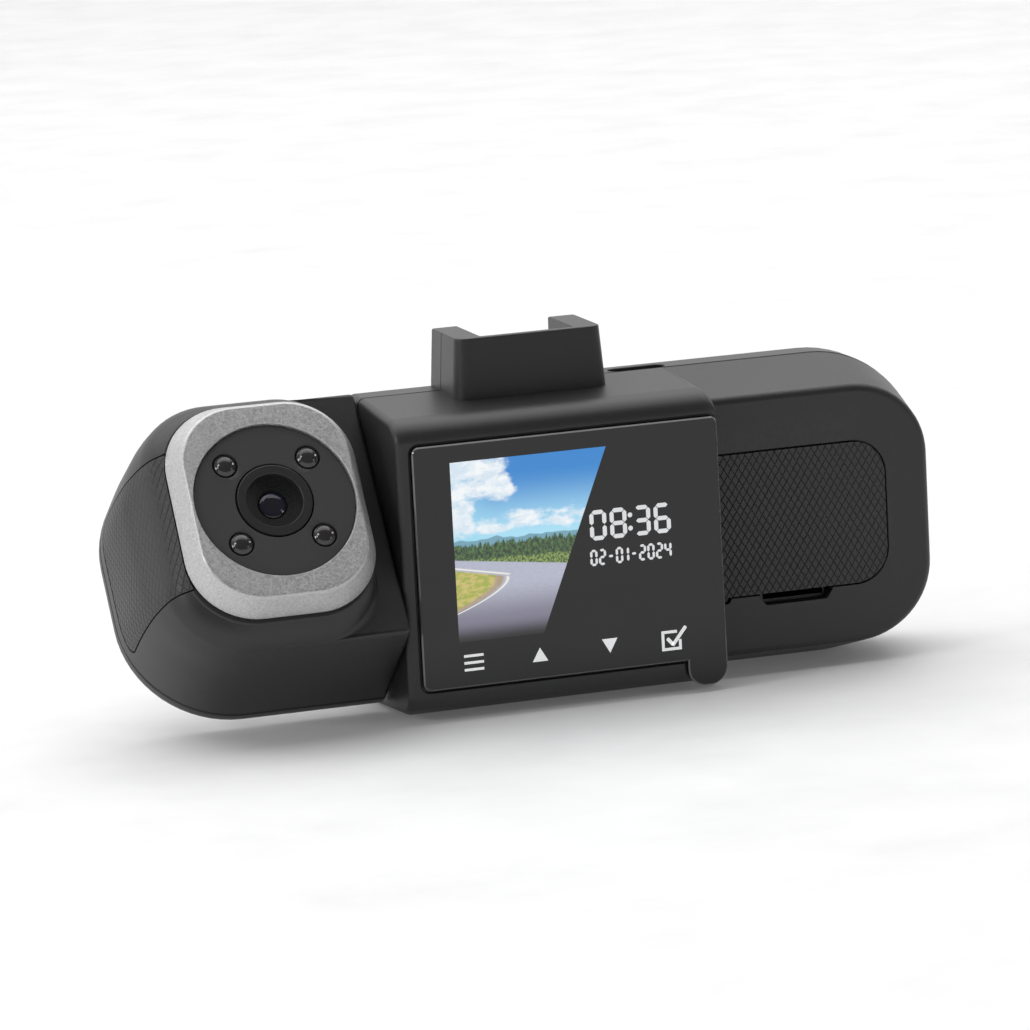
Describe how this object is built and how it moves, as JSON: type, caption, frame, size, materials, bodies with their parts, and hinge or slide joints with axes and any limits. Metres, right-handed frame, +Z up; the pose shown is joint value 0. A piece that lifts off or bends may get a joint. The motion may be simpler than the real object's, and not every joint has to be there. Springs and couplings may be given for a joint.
{
  "type": "dash camera",
  "caption": "Dash camera with a touch display, a road camera behind its wing and a swivelling cabin camera pod with infrared lamps.",
  "frame": {"origin": "middle of the floor of the mounting shoe on top of the body", "axes": "+X to the right seen from the display side, +Y towards the windscreen, +Z up out of the shoe; the display faces -Y"},
  "size_m": [0.1471, 0.052, 0.0635],
  "materials": {
    "shell": "fine matt grain, charcoal",
    "screen_glass": "satin anti-glare cover glass over black print",
    "textured_inlay": "moulded diamond texture",
    "circuit_board": "solder mask",
    "metal_can": "bright tin",
    "black_plastic": "matt",
    "white_plastic": "matt",
    "screw_steel": "zinc plated",
    "bezel_silver": "fine silver-grey metallic paint",
    "face_black": "satin black",
    "lens_glass": "coated glass",
    "lamp_resin": "dark infrared-pass resin"
  },
  "bodies": {
    "body": {"front_shell": "shell", "rear_shell": "shell", "screen_glass": "screen_glass", "lcd_module": "metal_can", "wing_inlay": "textured_inlay", "main_board": "circuit_board", "battery": "metal_can", "speaker": "black_plastic", "usb_c_receptacle": "metal_can", "microsd_socket": "metal_can", "reset_switch": "black_plastic", "shell_screws": "screw_steel", "road_bezel": "bezel_silver", "road_face_plate": "face_black", "road_lens_ring": "face_black", "road_lens_barrel": "black_plastic", "road_lens_glass": "lens_glass", "road_sensor_board": "circuit_board"},
    "pod": {"swivel_hub": "shell", "hub_clip": "screw_steel", "hub_washer": "screw_steel", "pod_front_shell": "shell", "pod_rear_cover": "shell", "pod_inlay": "textured_inlay", "pod_screws": "screw_steel", "cabin_bezel": "bezel_silver", "cabin_face_plate": "face_black", "infrared_lamps": "lamp_resin", "lamp_board": "circuit_board", "cabin_lens_ring": "face_black", "cabin_lens_barrel": "black_plastic", "cabin_lens_glass": "lens_glass", "cabin_sensor_board": "circuit_board"},
    "reset_key": {"reset_button": "white_plastic"}
  },
  "joints": [
    {"name": "pod_swivel", "type": "hinge", "parent": "body", "child": "pod", "pos_m": [-0.029, 0.0014, -0.02729], "axis": [1, 0, 0], "range_deg": [-54, 66]},
    {"name": "reset_press", "type": "slide", "parent": "body", "child": "reset_key", "axis": [0, 1, 0], "range_m": [0, 0.0003], "stiffness_N_per_m": 800, "springref_m": -0.0005}
  ]
}
